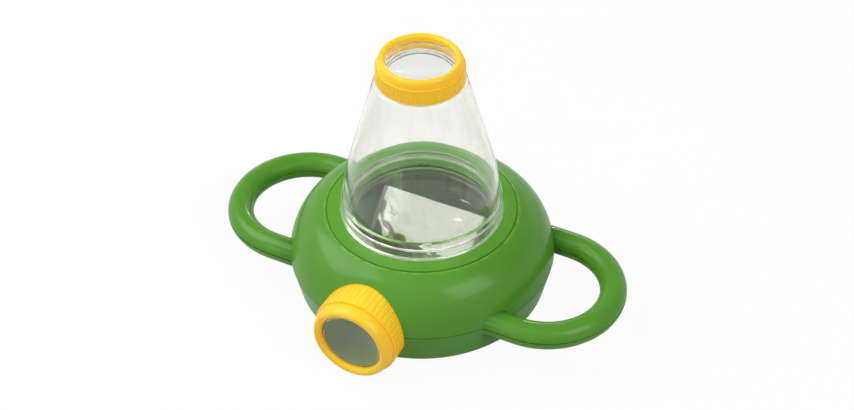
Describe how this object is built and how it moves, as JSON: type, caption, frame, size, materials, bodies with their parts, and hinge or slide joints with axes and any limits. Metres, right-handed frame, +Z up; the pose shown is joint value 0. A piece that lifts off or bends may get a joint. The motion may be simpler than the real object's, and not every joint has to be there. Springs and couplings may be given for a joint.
{
  "type": "bug viewer jar",
  "caption": "Bug viewer: round body with loop handles, clear chamber under a lift-off cone, screw-on top lens, and a side eyepiece fed by a sloping mirror.",
  "frame": {"origin": "middle of the flat face that stands on the table, on the axis of the round body", "axes": "+Z up along the body's axis, the side eyepiece looks along -Y, the handles lie along X"},
  "size_m": [0.26, 0.1735, 0.1708],
  "materials": {
    "green_plastic": "satin moulded",
    "yellow_plastic": "satin moulded",
    "clear_plastic": "clear, polished",
    "lens_plastic": "clear, optical",
    "mirror": "silvered acrylic",
    "dark_plastic": "matt moulded",
    "screw_steel": "plated"
  },
  "bodies": {
    "body": {"upper_shell": "green_plastic", "lower_shell": "green_plastic", "dish_collar": "green_plastic", "specimen_dish": "clear_plastic", "eyepiece_barrel": "dark_plastic", "mirror_plate": "mirror", "mirror_frame": "dark_plastic", "base_screw_front_left": "screw_steel", "base_screw_front_right": "screw_steel", "base_screw_back_left": "screw_steel", "base_screw_back_right": "screw_steel", "handle_screw_left": "screw_steel", "handle_screw_right": "screw_steel", "mirror_screw_left": "screw_steel", "mirror_screw_right": "screw_steel"},
    "cone": {"viewing_cone": "clear_plastic"},
    "top_lens_unit": {"top_lens": "lens_plastic", "top_lens_keeper": "yellow_plastic"},
    "top_ring": {"top_bezel": "yellow_plastic"},
    "eye_lens_unit": {"eyepiece_lens": "lens_plastic", "eyepiece_lens_keeper": "yellow_plastic"},
    "eye_ring": {"eyepiece_bezel": "yellow_plastic"}
  },
  "joints": [
    {"name": "cone_lift", "type": "slide", "parent": "body", "child": "cone", "axis": [0, 0, 1], "range_m": [0, 0.06]},
    {"name": "top_lens_travel", "type": "slide", "parent": "cone", "child": "top_lens_unit", "axis": [0, 0, 1], "range_m": [0, 0.006]},
    {"name": "top_ring_turn", "type": "hinge", "parent": "top_lens_unit", "child": "top_ring", "pos_m": [0, 0, 0.16], "axis": [0, 0, 1], "range_deg": [0, 540]},
    {"name": "eye_lens_travel", "type": "slide", "parent": "body", "child": "eye_lens_unit", "axis": [0, -1, 0], "range_m": [0, 0.006]},
    {"name": "eye_ring_turn", "type": "hinge", "parent": "eye_lens_unit", "child": "eye_ring", "pos_m": [0, -0.08, 0.0274], "axis": [0, -1, 0], "range_deg": [0, 540]}
  ],
  "couplings": [
    {"joint": "top_lens_travel", "follows": "top_ring_turn", "m_per_rad": 0.0006366},
    {"joint": "eye_lens_travel", "follows": "eye_ring_turn", "m_per_rad": 0.0006366}
  ]
}
